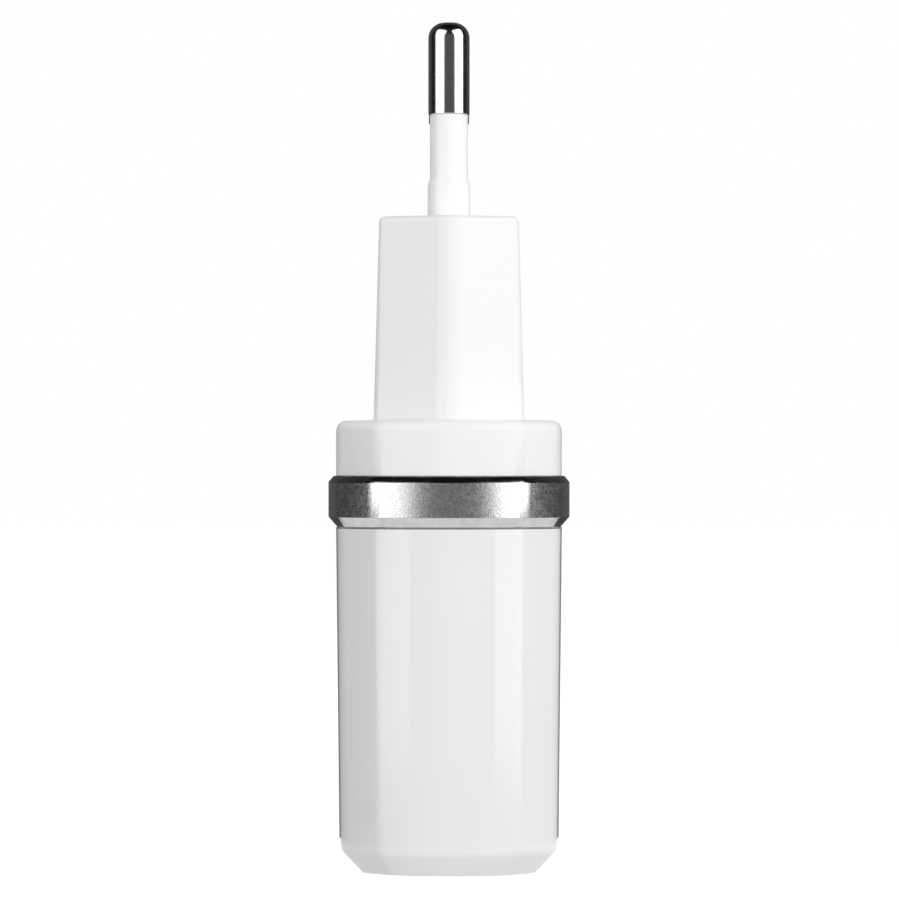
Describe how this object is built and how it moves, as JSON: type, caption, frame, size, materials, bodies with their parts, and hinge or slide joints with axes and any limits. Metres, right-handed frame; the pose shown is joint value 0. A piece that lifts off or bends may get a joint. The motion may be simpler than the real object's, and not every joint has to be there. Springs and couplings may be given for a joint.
{
  "type": "usb wall charger",
  "caption": "Slim white mains charger with fixed round pins on a tapered hexagonal plug body, a metal trim ring, and USB ports in its foot.",
  "frame": {"origin": "centre of the flat foot that it stands on", "axes": "+Z towards the pins, X across the wide faces and through both pins, Y through the thickness"},
  "size_m": [0.0434, 0.0238, 0.0825],
  "materials": {
    "gloss_white": "gloss",
    "satin_white": "satin",
    "anodised_aluminium": "fine blasted, bright bevels",
    "nickel_plate": "bright nickel plate",
    "sleeve_white": "gloss",
    "inner_plastic": "moulded",
    "bronze": "bare",
    "board_green": "solder resist",
    "insulating_film": "film",
    "tinned_steel": "tin plate",
    "tongue_white": "moulded",
    "gilt_bronze": "gold flash",
    "ferrite": "ground",
    "bobbin_black": "moulded",
    "winding_tape": "polyester tape",
    "tinned_wire": "tin plate",
    "can_sleeve_black": "shrink sleeve",
    "can_sleeve_blue": "shrink sleeve",
    "resistor_coat": "lacquer",
    "choke_copper": "enamelled wire",
    "capacitor_coat": "epoxy dip",
    "chip_black": "moulded",
    "chip_tan": "fired"
  },
  "bodies": {
    "charger": {"rear_housing": "gloss_white", "plug_cover": "satin_white", "trim_ring": "anodised_aluminium", "left_pin": "nickel_plate", "right_pin": "nickel_plate", "left_pin_sleeve": "sleeve_white", "right_pin_sleeve": "sleeve_white", "pin_retainer": "inner_plastic", "left_contact_strip": "bronze", "right_contact_strip": "bronze", "main_board": "board_green", "insulating_sheet": "insulating_film", "left_usb_shell": "tinned_steel", "right_usb_shell": "tinned_steel", "left_usb_tongue": "tongue_white", "right_usb_tongue": "tongue_white", "left_usb_tails": "gilt_bronze", "right_usb_tails": "gilt_bronze", "transformer_upper_core": "ferrite", "transformer_lower_core": "ferrite", "transformer_bobbin": "bobbin_black", "transformer_winding": "winding_tape", "transformer_pins": "tinned_wire", "plug_capacitor": "can_sleeve_black", "board_capacitor": "can_sleeve_black", "first_output_capacitor": "can_sleeve_blue", "second_output_capacitor": "can_sleeve_blue", "fusible_resistor": "resistor_coat", "input_choke": "choke_copper", "safety_capacitor": "capacitor_coat", "bridge_rectifier": "chip_black", "switching_controller": "chip_black", "output_rectifier": "chip_black", "clamp_diode": "chip_black", "port_controller": "chip_black", "chip_resistors": "chip_black", "chip_capacitors": "chip_tan"},
    "left_port_contacts": {"left_usb_springs": "gilt_bronze"},
    "right_port_contacts": {"right_usb_springs": "gilt_bronze"}
  },
  "joints": [
    {"name": "left_contacts_flex", "type": "hinge", "parent": "charger", "child": "left_port_contacts", "pos_m": [-0.008, 0.00055, 0.0111], "axis": [1, 0, 0], "range_deg": [0, 4], "stiffness_Nm_per_rad": 0.25},
    {"name": "right_contacts_flex", "type": "hinge", "parent": "charger", "child": "right_port_contacts", "pos_m": [0.008, 0.00055, 0.0111], "axis": [1, 0, 0], "range_deg": [0, 4], "stiffness_Nm_per_rad": 0.25}
  ]
}
